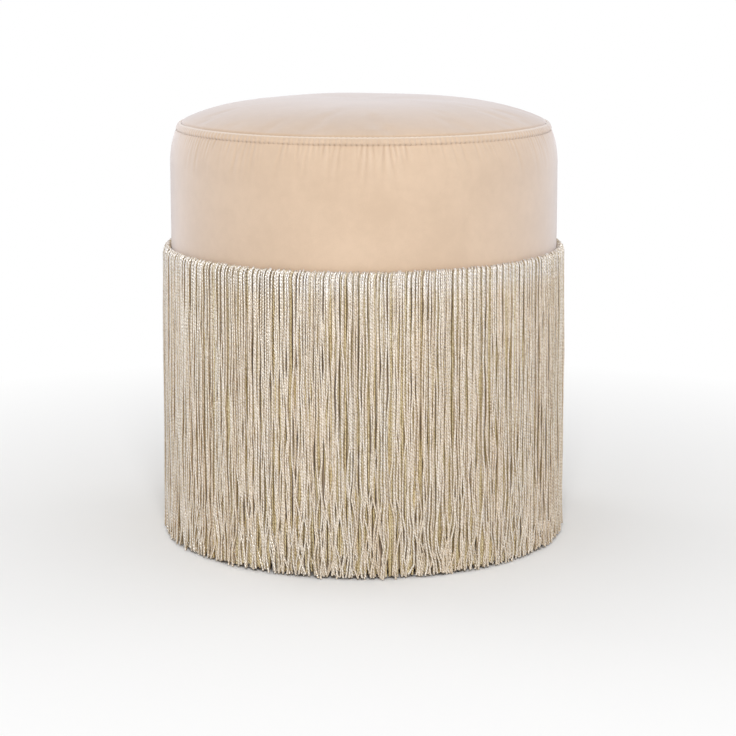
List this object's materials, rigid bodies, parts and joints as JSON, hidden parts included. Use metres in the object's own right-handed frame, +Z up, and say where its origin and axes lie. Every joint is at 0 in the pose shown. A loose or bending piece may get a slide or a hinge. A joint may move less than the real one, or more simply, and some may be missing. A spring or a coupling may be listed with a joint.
{
  "type": "tuffet",
  "caption": "Round tuffet: a padded velvet seat on a boarded drum, with a long twisted-cord fringe hung round it down to the floor.",
  "frame": {"origin": "on the floor, below the middle of the round seat", "axes": "+Z up, -Y towards the front that the picture shows, +Y towards the cover's back seam"},
  "size_m": [0.3856, 0.3856, 0.4126],
  "materials": {
    "board": "raw chipboard",
    "post_wood": "planed softwood",
    "screw_steel": "zinc plated, yellow passivated",
    "hardboard": "thin bent hardboard",
    "staple_steel": "galvanised wire",
    "wadding": "bonded polyester wadding",
    "foam": "open-cell seat foam",
    "velvet": "short-pile velvet, warm beige with a pale sheen",
    "stitch_thread": "bonded thread",
    "dust_cloth": "spun-bonded cloth",
    "glide_plastic": "moulded, matt",
    "fringe_tape": "woven tape",
    "hot_glue": "set glue, cloudy",
    "fringe_cord": "twisted silky cord, champagne"
  },
  "bodies": {
    "root": {"base_board": "board", "seat_board": "board", "front_post": "post_wood", "right_post": "post_wood", "back_post": "post_wood", "left_post": "post_wood", "base_board_screws": "screw_steel", "seat_board_screws": "screw_steel", "glide_screws": "screw_steel", "side_shell": "hardboard", "shell_staples": "staple_steel", "hem_staples": "staple_steel", "dust_cover_staples": "staple_steel", "side_wadding": "wadding", "crown_wadding": "wadding", "seat_foam": "foam", "top_panel": "velvet", "side_band": "velvet", "rim_topstitch": "stitch_thread", "dust_cover": "dust_cloth", "front_left_glide": "glide_plastic", "front_right_glide": "glide_plastic", "back_left_glide": "glide_plastic", "back_right_glide": "glide_plastic", "fringe_tape": "fringe_tape", "tape_glue_bead": "hot_glue", "fringe_inner_row": "fringe_cord", "fringe_outer_row": "fringe_cord"}
  },
  "joints": []
}
